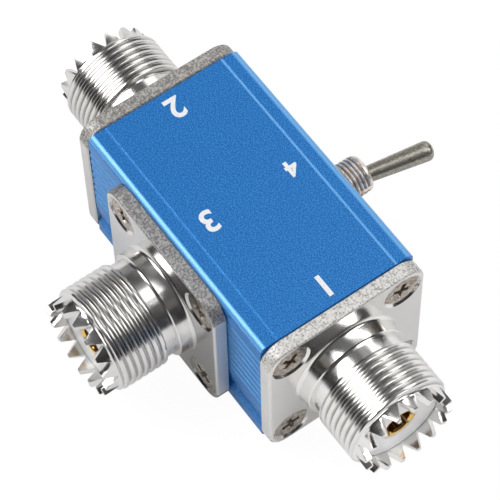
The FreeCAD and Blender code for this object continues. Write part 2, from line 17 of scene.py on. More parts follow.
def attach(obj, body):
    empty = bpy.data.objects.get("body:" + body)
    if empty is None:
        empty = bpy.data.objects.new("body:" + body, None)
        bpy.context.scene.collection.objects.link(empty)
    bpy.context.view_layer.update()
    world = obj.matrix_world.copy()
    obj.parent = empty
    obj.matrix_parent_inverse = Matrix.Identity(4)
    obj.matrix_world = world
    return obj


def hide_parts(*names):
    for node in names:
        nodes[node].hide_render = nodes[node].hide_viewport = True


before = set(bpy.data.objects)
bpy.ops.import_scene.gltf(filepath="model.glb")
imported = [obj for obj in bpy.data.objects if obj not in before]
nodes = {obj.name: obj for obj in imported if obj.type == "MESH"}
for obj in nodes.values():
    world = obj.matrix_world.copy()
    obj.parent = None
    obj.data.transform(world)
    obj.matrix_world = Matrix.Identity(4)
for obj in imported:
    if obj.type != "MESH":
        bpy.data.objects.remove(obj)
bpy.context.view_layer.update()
MM = 0.001

# %% [markdown]
# ## Sizes
# The sockets are a standard part, so their sizes are standard ones too, such as
# the 5/8-24 thread. All lengths are in millimetres. A socket is built with its
# axis along X, and its x = 0 is the side of the box that it is screwed to.

# %% Sizes shared by the pieces
HALF_L, HALF_W, ZC = 20.3, 12.5, 12.7           # box: half length, half width, mid height
FLANGE, FLANGE_T = 25.4, 2.2                    # flange: side (also the box's height), thickness
SCREW_AT, SINK_R, SCREW_HOLE = 9.1, 3.05, 1.52  # screws: offset, countersink, hole
THREAD_R, NECK_R, PITCH = 7.9375, 7.35, 25.4 / 24
THREAD_START, THREAD_END, CROWN_BASE, CROWN_TIP = 6.4, 13.76, 14.3, 16.3
BORE_R, TEETH = 6.2, 16
PIVOT_Y, BUSH_TOP, BUSH_R = 16.0, 19.5, 2.9     # toggle: lever's pivot, bushing's top and radius
print("socket stands", CROWN_TIP, "mm out of the box")

# %% [markdown]
# ## Camera
# The object is seen from above, over the corner between the transmitter socket
# and the first antenna socket. A long lens from some way off keeps the box's
# edges nearly parallel.

# %% Camera
CAMERA_AT, LOOKS_AT = (147.345, -99.071, 319.370), (1.040, -0.693, 12.7)
ROLL_DEGREES = -1.705


def add_object(name, data):
    obj = bpy.data.objects.new(name, data)
    bpy.context.scene.collection.objects.link(obj)
    return obj


lens = bpy.data.cameras.new("camera")
lens.lens, lens.sensor_width = 184.22, 36.0
lens.clip_start, lens.clip_end = 0.01, 10.0
camera = add_object("camera", lens)
bpy.context.scene.camera = camera
camera.location = Vector(CAMERA_AT) * MM
ahead = Vector(LOOKS_AT) * MM - camera.location
roll = Matrix.Rotation(math.radians(ROLL_DEGREES), 4, "Z").to_quaternion()
camera.rotation_mode = "QUATERNION"
camera.rotation_quaternion = ahead.to_track_quat("-Z", "Y") @ roll
print("camera at", [round(c, 3) for c in camera.location])

# %% [markdown]
# ## Helpers for making pieces
# Most pieces of a socket and of a toggle are turned on a lathe. The same is done
# here: an outline of (x, radius) points is spun round the X axis. A closed
# outline joins its last point to its first. An open one ends on the axis, or
# leaves a gap that another part of the piece fills.

# %% Spin an outline into a turned piece
TOUCH = 1e-7        # metres; vertices closer than this are one
ON_PLANE = 1e-6     # metres; what is this near a plane lies in it
NEAR = 0.01         # the same in millimetres, with more slack


def outline_edges(bm, points, closed):
    """Corners and edges of an outline in the XY plane, in metres."""
    corners = [bm.verts.new((x * MM, r * MM, 0.0)) for x, r in points]
    pairs = list(zip(corners[:-1], corners[1:]))
    if closed:
        pairs.append((corners[-1], corners[0]))
    return corners, [bm.edges.new(pair) for pair in pairs]


def spin(bm, geom, steps, angle=math.tau, **options):
    bmesh.ops.spin(bm, geom=geom, cent=(0, 0, 0), axis=(1, 0, 0), angle=angle, steps=steps,
                   **options)


def join_touching(bm, reach=TOUCH):
    """Merge vertices that touch, and drop what has no length left."""
    bmesh.ops.remove_doubles(bm, verts=bm.verts, dist=reach)
    bmesh.ops.dissolve_degenerate(bm, edges=bm.edges, dist=1e-8)


def turn(bm, points, closed=True, steps=96):
    """Spin an outline a full turn about X."""
    corners, edges = outline_edges(bm, points, closed)
    spin(bm, corners + edges, steps, use_merge=True)
    join_touching(bm)
    return bm


def face_outwards(bm):
    bmesh.ops.remove_doubles(bm, verts=bm.verts, dist=TOUCH)
    bmesh.ops.recalc_face_normals(bm, faces=bm.faces)
    return bm


def move(bm, matrix, verts=None):
    bmesh.ops.transform(bm, matrix=matrix, verts=verts or bm.verts)
    return bm


def bevel_edges(bm, edges, width, segments=1):
    bmesh.ops.bevel(bm, geom=edges, offset=width * MM, offset_type="OFFSET", segments=segments,
                    profile=0.5, affect="EDGES", clamp_overlap=True, material=-1)


def clamp(value):
    return min(max(value, 0.0), 1.0)


print("lathe ready")

# %% [markdown]
# A finished piece is shaded smooth, except over edges that turn sharply. Large
# flat faces stay flat, so that the light doesn't drift across them.

# %% Turn a finished bmesh into a piece that rides on a body
SMALL_FACE = 2.0        # mm2; up to this size any face may be shaded smooth
LEVEL = 0.01            # radians; faces that meet at less lie in one plane


def sharpen(bm, limit, flat_area):
    large = set()
    for face in bm.faces:
        area = face.calc_area() / (MM * MM)
        face.smooth = area < SMALL_FACE or len(face.verts) == 4
        if area > flat_area:
            large.add(face)
    for edge in bm.edges:
        if len(edge.link_faces) == 2:
            angle = edge.calc_face_angle(0.0)
            rim = angle > LEVEL and not large.isdisjoint(edge.link_faces)
            edge.smooth = angle < math.radians(limit) and not rim


def piece(name, bm, finish, node, body="housing", limit=32.0, flat_area=25.0):
    """Make the object, give it its finish, and let it stand for a CAD node.

    Edges over limit degrees and the rims of faces over flat_area mm2 stay sharp.
    """
    sharpen(bm, limit, flat_area)
    mesh = bpy.data.meshes.new(name)
    bm.to_mesh(mesh)
    bm.free()
    obj = add_object(name, mesh)
    mesh.materials.append(finish)
    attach(obj, body)
    if node:
        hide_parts(node)
    mesh.calc_loop_triangles()
    print(name, len(mesh.loop_triangles), "triangles")
    return obj


def merged_copy(name, **options):
    """A CAD node's mesh with the triangles of each flat part joined."""
    bm = bmesh.new()
    bm.from_mesh(nodes[name].data)
    bmesh.ops.remove_doubles(bm, verts=bm.verts, dist=TOUCH)
    bmesh.ops.dissolve_limit(bm, angle_limit=math.radians(1.0), verts=bm.verts, edges=bm.edges,
                             **options)
    return bm


print("piece helpers ready")

# %% [markdown]
# ## Helpers for finishes
# Each finish is a Principled shader whose bump comes from noise on Object
# coordinates. A noise of scale `per_mm` has about that many grains in a
# millimetre, at the object's real size. Any input of a node is either a constant
# or a pair: the node that feeds it, and the name of that node's output.

# %% Start a finish and add nodes to it
MIX_FIRST, MIX_SECOND, MIX_RESULT = 6, 7, 2     # colour sockets of a Mix node


def new_finish(name, color, metallic, roughness):
    """color is the plain colour; most finishes then feed a finer one in."""
    mat = bpy.data.materials.new(name)
    mat.use_nodes = True
    shader = mat.node_tree.nodes["Principled BSDF"]
    shader.inputs["Base Color"].default_value = (*color, 1.0)
    shader.inputs["Metallic"].default_value = metallic
    shader.inputs["Roughness"].default_value = roughness
    return mat, mat.node_tree, shader


def link(tree, a, out, b, into):
    tree.links.new(a.outputs[out], b.inputs[into])


def add_node(tree, kind, inputs, **settings):
    node = tree.nodes.new("ShaderNode" + kind)
    for setting, value in settings.items():
        setattr(node, setting, value)
    for into, value in inputs.items():
        if isinstance(value, tuple) and isinstance(value[0], bpy.types.Node):
            link(tree, *value, node, into)
        else:
            node.inputs[into].default_value = value
    return node


def attribute(tree, name):
    """What faces or vertices carry under this name."""
    return add_node(tree, "Attribute", {}, attribute_name=name)


def blend(tree, amount, first, second, **settings):
    """Mix two colours."""
    return add_node(tree, "Mix", {"Factor": amount, MIX_FIRST: first, MIX_SECOND: second},
                    data_type="RGBA", **settings)


def noise(tree, per_mm, detail=2.0, stretch=(1, 1, 1)):
    """Noise on Object coordinates, stretched along an axis by a small factor."""
    place = add_node(tree, "TexCoord", {})
    scale = add_node(tree, "Mapping", {"Vector": (place, "Object"), "Scale": stretch})
    return add_node(tree, "TexNoise", {"Vector": (scale, "Vector"), "Scale": per_mm * 1000.0,
                                       "Detail": detail})


def bump(tree, height, out, shader, strength, depth_mm):
    node = add_node(tree, "Bump", {"Height": (height, out), "Strength": strength,
                                   "Distance": depth_mm * MM})
    link(tree, node, "Normal", shader, "Normal")


def ramp(tree, source, out, stops):
    """A colour ramp from (position, colour) stops."""
    node = add_node(tree, "ValToRGB", {"Fac": (source, out)})
    band = node.color_ramp
    while len(band.elements) < len(stops):
        band.elements.new(0.5)
    for element, (where, color) in zip(band.elements, stops):
        element.position = where
        element.color = (*color, 1.0)
    return node


print("finish helpers ready")

# %% [markdown]
# ## Blue anodised aluminium
# The box is blasted, then dyed and sealed. The dye lies in a clear oxide film,
# so the metal below shines through blue while the film itself glints white. A
# partly metallic shader gives both. Fine noise breaks the colour and the gloss
# into the tiny grains that blasting leaves. The grooves, the far hairline and the
# upper halves of the top's rounded long edges are painted paler, as a painted
# highlight where they glint; a face attribute says where.
# The long sides glint less than the top. There the attribute `flank` is 1, which
# takes most of the clear coat away.

# %% Blue finish
# painted highlight: the paler blue that glinting grooves, hairline and edges are mixed towards
GLINT_BLUE = (0.18, 0.50, 0.95, 1.0)
COAT, COAT_LOST_ON_FLANKS = 0.55, 0.40

blue, tree, shader = new_finish("blue_anodised", (0.016, 0.190, 0.530), 0.25, 0.38)
shader.inputs["Specular IOR Level"].default_value = 1.0
shader.inputs["Specular Tint"].default_value = (0.30, 0.85, 1.0, 1.0)
shader.inputs["Coat Roughness"].default_value = 0.24
shader.inputs["Coat IOR"].default_value = 1.6
grains = noise(tree, 5.6)
tint = ramp(tree, grains, "Fac", [(0.34, (0.004, 0.095, 0.390)), (0.50, (0.012, 0.178, 0.575)),
                                 (0.68, (0.055, 0.320, 0.840))])
# painted highlight: the marked faces are mixed towards a paler blue
glinting = blend(tree, (attribute(tree, "worn"), "Fac"), (tint, "Color"), GLINT_BLUE)
link(tree, glinting, MIX_RESULT, shader, "Base Color")
film = add_node(tree, "Math", {0: (attribute(tree, "flank"), "Fac"), 1: -COAT_LOST_ON_FLANKS,
                               2: COAT}, operation="MULTIPLY_ADD")
link(tree, film, "Value", shader, "Coat Weight")
bump(tree, grains, "Fac", shader, 0.6, 0.02)
print("blue finish made")

# %% [markdown]
# ## The two half shells
# The shells are extrusions, and the CAD model already has their outline with its
# ribs, hairlines and rounded edges. A merged copy of each is drawn back a hair
# from the flanges, which leaves the thin dark gap that real cut ends show, and
# gets a fine bevel on the sharp edges there. Its top is lowered a little, so that
# the ink on it stays below the CAD model's highest plane, and the hairlines are
# made shallower. Low on the sides the ribs give way to a plain band that is
# slightly hollow.

# %% Shells from the CAD outline
END_GAP, END_BEVEL, TOP_DROP = 0.13, 0.06, 0.03
SHELL_END = (HALF_L - END_GAP) * MM
HAIR_Y, HAIR_REACH, HAIR_DEPTH = 9.68, 0.2, 0.07    # hairline: place, half its width, depth
RIB_DEPTH = 0.28                                    # of the grooves between the ribs
BAND = [(9.0, 0.0), (8.5, 0.01), (7.3, 0.09), (6.4, 0.18), (5.2, 0.34), (4.0, 0.52),
        (3.5, 0.34), (3.0, 0.0)]                    # (height, depth) of the hollow band
BAND_TOP, BAND_FOOT = BAND[0][0], BAND[-1][0]
# how much painted highlight the upper rounded edges, the grooves and the far hairline get
GLINT_EDGE, GLINT_GROOVE, GLINT_HAIRLINE = 0.7, 0.36, 0.5
FACES_UP = 0.45         # z of the normal of a face that looks up
SKIN, ROUNDING = 0.5, 1.0           # how deep ribs and hairlines go, and the rounded long edges
FLANK_DEPTH, OUTER = 0.8, 0.7       # what counts as a flank, and as an outer end edge


def hollow_at(z):
    for (z0, d0), (z1, d1) in zip(BAND[:-1], BAND[1:]):
        if z1 <= z <= z0:
            return d0 + (d1 - d0) * (z0 - z) / (z0 - z1)
    return 0.0


def shape_shell(bm):
    for v in bm.verts:
        v.co.x = max(min(v.co.x, SHELL_END), -SHELL_END)
        in_hairline = abs(abs(v.co.y) - HAIR_Y * MM) < HAIR_REACH * MM
        if in_hairline and (FLANGE - 0.3) * MM < v.co.z < (FLANGE - 0.1) * MM:
            v.co.z = (FLANGE - HAIR_DEPTH) * MM
        if v.co.z > (FLANGE - NEAR) * MM:
            v.co.z -= TOP_DROP * MM
        in_band = BAND_FOOT * MM < v.co.z < BAND_TOP * MM
        if in_band and abs(v.co.y) > (HALF_W - RIB_DEPTH) * MM:
            v.co.y = math.copysign((HALF_W - hollow_at(v.co.z / MM)) * MM, v.co.y)


def mark_faces(bm):
    """Say how much painted highlight each face gets, and whether it counts as a flank."""
    worn, flank = bm.faces.layers.float.new("worn"), bm.faces.layers.float.new("flank")
    bm.normal_update()
    for f in bm.faces:
        middle = f.calc_center_median()
        # How far the face lies beyond the side's skin and the top's; inside is negative.
        across, up = abs(middle.y) / MM - HALF_W, abs(middle.z / MM - ZC) - ZC
        tilted = max(abs(c) for c in f.normal) < 0.995 and abs(f.normal.x) < 0.01
        f[flank] = float(across > max(up, -FLANK_DEPTH) and f.normal.z < FACES_UP)
        if not (tilted and max(across, up) > -SKIN and middle.z > BAND_TOP * MM):
            continue
        if min(across, up) > -ROUNDING:     # rounded long edge; its upper half gets painted highlight
            f[worn] = GLINT_EDGE if f.normal.z > FACES_UP else 0.0
        elif across > up:                   # groove between two ribs, painted paler as a painted highlight
            f[worn] = GLINT_GROOVE
        elif middle.y < 0:                  # near hairline, which glints as little as a flank
            f[flank] = 1.0
        else:                               # far hairline, painted paler as a painted highlight
            f[worn] = GLINT_HAIRLINE
    return sum(1 for f in bm.faces if f[worn] > 0.5)


def end_edges(bm):
    """Sharp outer edges of the two cut ends."""
    found = []
    for e in bm.edges:
        middle = (e.verts[0].co + e.verts[1].co) / 2
        outer = (abs(middle.y) > (HALF_W - OUTER) * MM or middle.z > (FLANGE - OUTER) * MM)
        if (outer and all(abs(abs(v.co.x) - SHELL_END) < ON_PLANE for v in e.verts)
                and len(e.link_faces) == 2 and e.calc_face_angle(0.0) > math.radians(60)):
            found.append(e)
    return found


for name, flat_area in (("upper_shell", 8.0), ("lower_shell", 60.0)):
    bm = merged_copy(name, delimit={"NORMAL"})
    shape_shell(bm)
    glint_faces = mark_faces(bm)
    ends = end_edges(bm)
    bevel_edges(bm, ends, END_BEVEL)
    print(name, len(bm.faces), "faces,", len(ends), "end edges,", glint_faces, "worn faces")
    piece(name + "_anodised", bm, blue, name, limit=20.0, flat_area=flat_area)

# %% [markdown]
# ## Nickel plate
# The sockets are brass under bright nickel. Turned surfaces are smooth with very
# fine tool marks. The flange's rim is left as it was cast. A vertex attribute
# named `cast` says how: 0.85 on the rim's top and bottom, which are rough and full
# of small dark pits, and 0.5 on its upright sides, which are only rough. Each
# socket gets its own tones, and the first antenna socket's smooth plate is made
# lighter, a painted reflection. A second attribute darkens the roots of the
# threads and the lower corner of the transmitter flange's face with painted shade.

# %% Nickel finish
# each flange has its own tones; the first antenna socket's lighter smooth plate is a painted
# reflection
RIM_TONES = {       # pits, grain, crests of the cast rim, and the smooth plate
    "ant1": ((0.20, 0.19, 0.18), (0.72, 0.70, 0.68), (0.93, 0.91, 0.88), (0.86, 0.845, 0.825)),
    "ant2": ((0.07, 0.065, 0.06), (0.20, 0.19, 0.175), (0.58, 0.555, 0.52),
             (0.74, 0.725, 0.705)),
    "tx": ((0.03, 0.03, 0.03), (0.11, 0.11, 0.115), (0.43, 0.425, 0.43), (0.74, 0.725, 0.71))}
# colour of the painted shade in the thread roots and on the transmitter flange's face
SHADE_TONE = (0.075, 0.07, 0.064, 1.0)
SMOOTH_LEAST, SMOOTH_MOST, CAST_ADDS = 0.13, 0.24, 0.46     # roughness


def nickel_plate(side):
    mat, tree, shader = new_finish("nickel_" + side, (0.74, 0.725, 0.70), 1.0, 0.16)
    dark, mid, light, smooth = RIM_TONES[side]
    cast = attribute(tree, "cast")
    coarse, fine = noise(tree, 3.8, 4.0), noise(tree, 0.9)
    pits = ramp(tree, coarse, "Fac", [(0.36, dark), (0.46, mid), (0.58, light)])
    pitted = add_node(tree, "MapRange", {"Value": (cast, "Fac"), "From Min": 0.5})
    undarkened = blend(tree, (pitted, "Result"), (*smooth, 1.0), (pits, "Color"))
    # painted shade: darker in the thread roots and towards a lower corner of the transmitter
    # flange's face
    darkened = blend(tree, (attribute(tree, "dirt"), "Fac"), (undarkened, MIX_RESULT), SHADE_TONE)
    link(tree, darkened, MIX_RESULT, shader, "Base Color")
    gloss = add_node(tree, "MapRange", {"Value": (fine, "Fac"), "To Min": SMOOTH_LEAST,
                                        "To Max": SMOOTH_MOST})
    spread = add_node(tree, "Math", {0: (cast, "Fac"), 1: 0.5}, operation="POWER")
    rough = add_node(tree, "Math", {0: (spread, "Value"), 1: CAST_ADDS, 2: (gloss, "Result")},
                     operation="MULTIPLY_ADD", use_clamp=True)
    link(tree, rough, "Value", shader, "Roughness")
    depth = add_node(tree, "Math", {0: (coarse, "Fac"), 1: (pitted, "Result")},
                     operation="MULTIPLY")
    bump(tree, depth, "Value", shader, 0.5, 0.06)
    return mat


nickel = {side: nickel_plate(side) for side in RIM_TONES}
print("nickel finishes made:", len(nickel))

# %% [markdown]
# ## A socket
# The barrel is one spun outline, left open where the thread goes. The thread is
# a short tooth profile spun one turn with a shift of one pitch, and that turn is
# repeated along the axis. Its ends are pressed onto the planes where the thread
# stops, so both parts share the same rings of vertices and join into one skin.

# %% Thread from one turn of a helix
STEPS = 192                 # steps round a socket: twelve for each tooth of the crown
WELD = 2 * TOUCH            # joins the thread and the teeth to their neighbours


def cut_thread(bm, start, end, pitch, outline, limit, steps=STEPS):
    """outline is one pitch of (x / pitch, radius); limit(x) is the largest radius at x."""
    one = bmesh.new()
    points = [(start - pitch + x * pitch, r) for x, r in outline]
    corners, edges = outline_edges(one, points, False)
    spin(one, corners + edges, steps, dvec=(pitch / steps * MM, 0, 0))
    mesh = bpy.data.meshes.new("one turn")
    one.to_mesh(mesh)
    one.free()
    turns = math.ceil((end - start) / pitch) + 1
    old = set(bm.verts)
    for _ in range(turns):
        bm.from_mesh(mesh)
        mesh.transform(Matrix.Translation((pitch * MM, 0, 0)))
    bpy.data.meshes.remove(mesh)
    for vert in [v for v in bm.verts if v not in old]:
        x = min(max(vert.co.x / MM, start), end)
        radius = math.hypot(vert.co.y, vert.co.z)
        keep = min(radius, limit(x) * MM) / radius
        vert.co = (x * MM, vert.co.y * keep, vert.co.z * keep)
    join_touching(bm, WELD)
    print("thread of", turns, "turns,", len(bm.faces), "faces so far")


print("a socket has", STEPS, "steps round its axis")

# %% [markdown]
# The crown's sixteen teeth need no cutting either. The ring at the crown's end
# is pulled back between the teeth, where it meets the ring at their roots.

# %% The crown: push the end ring down between the teeth
TOOTH_SHARE = 360.0 / TEETH                     # degrees that a tooth and its gap take
TIP_TO, FLANK_MID, ROOT_FROM = 2.3, 6.2, 10.2   # degrees from the middle of a tooth
EVEN = [0.0, 1 / 12, 3 / 12, 5 / 12, 6 / 12]    # shares at which the spin has vertices
REAL = [0.0, TIP_TO / TOOTH_SHARE, FLANK_MID / TOOTH_SHARE, ROOT_FROM / TOOTH_SHARE, 0.5]


def tooth_turn(angle):
    """Where a vertex of the even spin goes, so that tips and valleys get corners."""
    share = math.tau / TEETH
    whole, part = divmod(angle / share, 1.0)
    side = min(part, 1.0 - part)
    for e0, e1, r0, r1 in zip(EVEN[:-1], EVEN[1:], REAL[:-1], REAL[1:]):
        if side <= e1 + 1e-9:
            side = r0 + (side - e0) / (e1 - e0) * (r1 - r0)
            break
    return (whole + (side if part <= 0.5 else 1.0 - side)) * share


def cut_teeth(bm):
    for vert in bm.verts:
        radius = math.hypot(vert.co.y, vert.co.z)
        if radius < ON_PLANE:
            continue
        angle = tooth_turn(math.atan2(vert.co.z, vert.co.y) % math.tau)
        x = vert.co.x
        if x > (CROWN_BASE + 0.2) * MM:
            part = (math.degrees(angle) / TOOTH_SHARE) % 1.0
            side = min(part, 1.0 - part) * TOOTH_SHARE
            drop = clamp((side - TIP_TO) / (ROOT_FROM - TIP_TO))
            x = CROWN_BASE * MM + (x - CROWN_BASE * MM) * (1.0 - drop)
        vert.co = (x, radius * math.cos(angle), radius * math.sin(angle))
    join_touching(bm, WELD)


print("crown of", TEETH, "teeth")

# %% [markdown]
# The flange is a plate with rounded corners. It starts as a bevelled block whose
# front and back are taken off and filled again round the barrel and the screw
# holes.

# %% The flange plate round the barrel
CORNER, FRONT_EDGE, BACK_EDGE = 3.0, 0.35, 0.18     # bevels
RIM_FROM = 9.8                                      # the rim's top and bottom lie beyond this
CAST_ENDS, CAST_SIDES = 0.85, 0.5


def ring(bm, x, radius, y, z):
    place = Matrix.Translation((x * MM, y * MM, z * MM)) @ Matrix.Rotation(math.pi / 2, 4, "Y")
    made = bmesh.ops.create_circle(bm, cap_ends=False, radius=radius * MM, segments=48,
                                   matrix=place)
    return list({e for v in made["verts"] for e in v.link_edges})


def add_flange(bm, corner_shade):
    """The last argument is how much painted shade darkens the front face towards its lower
    corner.
    """
    cast, dirt = bm.verts.layers.float.new("cast"), bm.verts.layers.float["dirt"]
    old = set(bm.verts)
    in_front, behind = (FLANGE_T - NEAR) * MM, NEAR * MM

    def new_edges(wanted):
        return [e for e in bm.edges if e.verts[0] not in old and wanted(*e.verts)]

    block = Matrix.Translation((FLANGE_T / 2 * MM, 0, 0)) @ Matrix.Diagonal(
        (FLANGE_T * MM, FLANGE * MM, FLANGE * MM, 1))
    bmesh.ops.create_cube(bm, size=1.0, matrix=block)
    bevel_edges(bm, new_edges(lambda a, b: abs(a.co.x - b.co.x) > MM), CORNER, 10)
    bevel_edges(bm, new_edges(lambda a, b: min(a.co.x, b.co.x) > in_front), FRONT_EDGE, 3)
    bevel_edges(bm, new_edges(lambda a, b: max(a.co.x, b.co.x) < behind), BACK_EDGE)
    plates = [f for f in bm.faces if f.verts[0] not in old and abs(f.normal.x) > 0.99]
    for v in bm.verts:
        if v not in old and v.co.x <= in_front:
            v[cast] = CAST_ENDS if abs(v.co.z) > RIM_FROM * MM else CAST_SIDES
    bmesh.ops.delete(bm, geom=plates, context="FACES_ONLY")
    for y in (-SCREW_AT, SCREW_AT):
        for z in (-SCREW_AT, SCREW_AT):
            mouth = ring(bm, FLANGE_T, SINK_R, y, z)
            throat = ring(bm, FLANGE_T - SINK_R + SCREW_HOLE, SCREW_HOLE, y, z)
            back = ring(bm, 0.0, SCREW_HOLE, y, z)
            bmesh.ops.bridge_loops(bm, edges=mouth + throat)
            bmesh.ops.bridge_loops(bm, edges=throat + back)
    for x, outwards in ((FLANGE_T, 1), (0.0, -1)):
        loose = [e for e in bm.edges if len(e.link_faces) < 2
                 and all(abs(v.co.x - x * MM) < ON_PLANE for v in e.verts)]
        bmesh.ops.triangle_fill(bm, edges=loose, use_beauty=True, use_dissolve=False,
                                normal=(outwards, 0, 0))
    # painted shade: the front face darkens towards its lower corner
    for v in bm.verts:
        if abs(v.co.x - FLANGE_T * MM) < ON_PLANE:
            v[dirt] = corner_shade * clamp(0.5 + (v.co.y - v.co.z) / (FLANGE * MM))


print("flange ready")

# %% [markdown]
# Put together, one socket is: barrel outline, thread, teeth, a turn so that the
# teeth stand as they happened to be screwed on, and the flange. It is made on
# the X axis and then moved to its side of the box.

# %% One socket shell
BARREL = [(THREAD_START, NECK_R), (4.62, NECK_R), (4.6, 7.85), (4.45, 8.0), (2.75, 8.0),
          (2.5, 8.06), (2.32, 8.2), (FLANGE_T, 8.4)]
REAR = [(0.0, 5.6), (-2.5, 5.6), (-2.6, 5.5), (-2.6, 4.5), (3.0, 4.5), (3.0, BORE_R),
        (CROWN_BASE, BORE_R), (CROWN_TIP - 0.06, BORE_R), (CROWN_TIP, BORE_R + 0.06),
        (CROWN_TIP, 7.20), (CROWN_TIP - 0.08, 7.28), (CROWN_BASE + 0.3, 7.28),
        (CROWN_BASE, NECK_R)]
ROOT_R = THREAD_R - 0.47
TOOTH = [(0.0, ROOT_R), (0.02, ROOT_R), (0.225, 7.86), (0.255, 7.905), (0.295, 7.930),
         (0.36, THREAD_R), (0.64, THREAD_R), (0.705, 7.930), (0.745, 7.905), (0.775, 7.86),
         (0.98, ROOT_R), (1.0, ROOT_R)]
UNSHADED_FROM, BARREL_SKIN = 7.88, 7.0         # painted shade in the thread roots lies between these radii
LEAD_IN = 1.9                               # rise of the cone on which the thread starts


def thread_limit(x):
    """Both ends of the thread run out on a cone."""
    return min(NECK_R + (x - THREAD_START) * LEAD_IN, THREAD_R,
               NECK_R + (CROWN_BASE - x) * (THREAD_R - NECK_R) / (CROWN_BASE - THREAD_END))


# painted shade: the thread gets darker towards its roots
def shade_thread_roots(bm, amount):
    dirt = bm.verts.layers.float.new("dirt")
    for v in bm.verts:
        radius = math.hypot(v.co.y, v.co.z) / MM
        if THREAD_START + 0.1 < v.co.x / MM < CROWN_BASE - 0.3 and radius > BARREL_SKIN:
            v[dirt] = amount * clamp((UNSHADED_FROM - radius) / (UNSHADED_FROM - ROOT_R))


def socket_shell(turned_by, root_shade, corner_shade):
    bm = bmesh.new()
    turn(bm, BARREL, closed=False, steps=STEPS)
    turn(bm, REAR, closed=False, steps=STEPS)
    cut_thread(bm, THREAD_START, CROWN_BASE, PITCH, TOOTH, thread_limit)
    cut_teeth(bm)
    shade_thread_roots(bm, root_shade)
    move(bm, Matrix.Rotation(math.radians(turned_by), 4, "X"))
    add_flange(bm, corner_shade)
    return face_outwards(bm)


def stand(x, y, turned_by):
    """The place of a socket that points outwards from (x, y) at mid height."""
    return (Matrix.Translation((x * MM, y * MM, ZC * MM))
            @ Matrix.Rotation(math.radians(turned_by), 4, "Z"))


STAND = {"ant1": stand(HALF_L, 0.0, 0.0), "ant2": stand(-HALF_L, 0.0, 180.0),
         "tx": stand(0.0, -HALF_W, -90.0)}
print("a socket stands on", len(STAND), "sides")

# %% The three sockets
# turn of the crown in degrees, painted shade in the thread roots, painted shade on the flange's
# face
SOCKETS = {"ant1": (16.6, 0.40, 0.0), "ant2": (9.0, 0.55, 0.0), "tx": (20.4, 0.12, 0.6)}
for side, settings in SOCKETS.items():
    bm = socket_shell(*settings)
    open_edges = sum(1 for e in bm.edges if len(e.link_faces) != 2)
    piece(side + "_shell", move(bm, STAND[side]), nickel[side], side + "_connector", limit=28.0)
    print(side, "open edges:", open_edges)

# %% [markdown]
# ## Insulators
# The white bead is PTFE. It is a soft white with a waxy sheen, so the shader is
# a plain plastic with some light going below the surface.

# %% PTFE beads
ptfe, tree, shader = new_finish("ptfe_white", (0.83, 0.83, 0.82), 0.0, 0.38)
shader.inputs["Subsurface Weight"].default_value = 0.25
shader.inputs["Subsurface Scale"].default_value = 0.001
mottle = noise(tree, 0.8)
shade = ramp(tree, mottle, "Fac", [(0.3, (0.84, 0.84, 0.84)), (0.7, (0.87, 0.87, 0.87))])
link(tree, shade, "Color", shader, "Base Color")
bump(tree, mottle, "Fac", shader, 0.15, 0.03)

BEAD = [(-2.6, 1.65), (-2.6, 4.45), (3.05, 4.45), (3.05, 6.15), (14.05, 6.15), (14.2, 6.0),
        (14.2, 2.95), (14.0, 2.75), (3.95, 2.75), (3.95, 1.65)]
for side in SOCKETS:
    bm = face_outwards(turn(bmesh.new(), BEAD))
    piece(side + "_bead", move(bm, STAND[side]), ptfe, side + "_insulator")

# %% [markdown]
# ## Centre contacts
# The contact is a gold-plated tube, slit into four fingers that grip the plug's
# pin. Each finger is a small outline face spun through a bit less than a quarter
# turn, so the slits are simply what is left between them.

# %% Gold contacts
gold, tree, shader = new_finish("gold_plate", (0.87, 0.56, 0.16), 1.0, 0.17)
patina = noise(tree, 0.7)
tone = ramp(tree, patina, "Fac", [(0.3, (0.78, 0.47, 0.12)), (0.7, (0.93, 0.63, 0.22))])
link(tree, tone, "Color", shader, "Base Color")
bump(tree, patina, "Fac", shader, 0.1, 0.02)

FINGER = [(8.0, 2.05), (13.7, 2.05), (13.9, 2.18), (14.02, 2.32), (14.05, 2.45), (14.0, 2.62),
          (13.85, 2.7), (8.0, 2.7)]
SHANK = [(-6.5, 1.1), (-6.5, 1.6), (4.0, 1.6), (4.0, 2.7), (8.05, 2.7), (8.05, 2.05),
         (5.45, 2.05), (5.45, 0.0), (-3.6, 0.0), (-3.6, 1.1)]
SLIT = 9.4                  # degrees between two fingers


def contact():
    bm = bmesh.new()
    for k in range(4):
        corners, edges = outline_edges(bm, FINGER, True)
        face = bm.faces.new(corners)
        start = math.radians(45 + 90 * k + SLIT / 2)
        move(bm, Matrix.Rotation(start, 4, "X"), corners)
        spin(bm, corners + edges + [face], 16, math.radians(90 - SLIT))
    shank = turn(bmesh.new(), SHANK, steps=64)
    mesh = bpy.data.meshes.new("shank")
    face_outwards(shank).to_mesh(mesh)
    shank.free()
    bm.from_mesh(mesh)
    bpy.data.meshes.remove(mesh)
    return face_outwards(bm)


for side in SOCKETS:
    piece(side + "_fingers", move(contact(), STAND[side]), gold, side + "_contact")

# %% [markdown]
# ## Screws
# Each flange is held by four countersunk screws with a cross recess. Their
# plating is dull and uneven, and darker than the flange's.

# %% Screw finish
screw_plate, tree, shader = new_finish("screw_plate", (0.46, 0.42, 0.37), 1.0, 0.30)
pits = noise(tree, 2.4, 4.0)
tone = ramp(tree, pits, "Fac", [(0.32, (0.23, 0.18, 0.14)), (0.5, (0.49, 0.43, 0.37)),
                               (0.75, (0.80, 0.76, 0.70))])
link(tree, tone, "Color", shader, "Base Color")
bump(tree, pits, "Fac", shader, 0.9, 0.12)
print("screw finish made")

# %% A cross recess is cut with a tapered cross
FLOOR, ABOVE = (-1.0, 0.90, 0.30), (1.4, 2.20, 0.45)    # cross: x, half length, half width


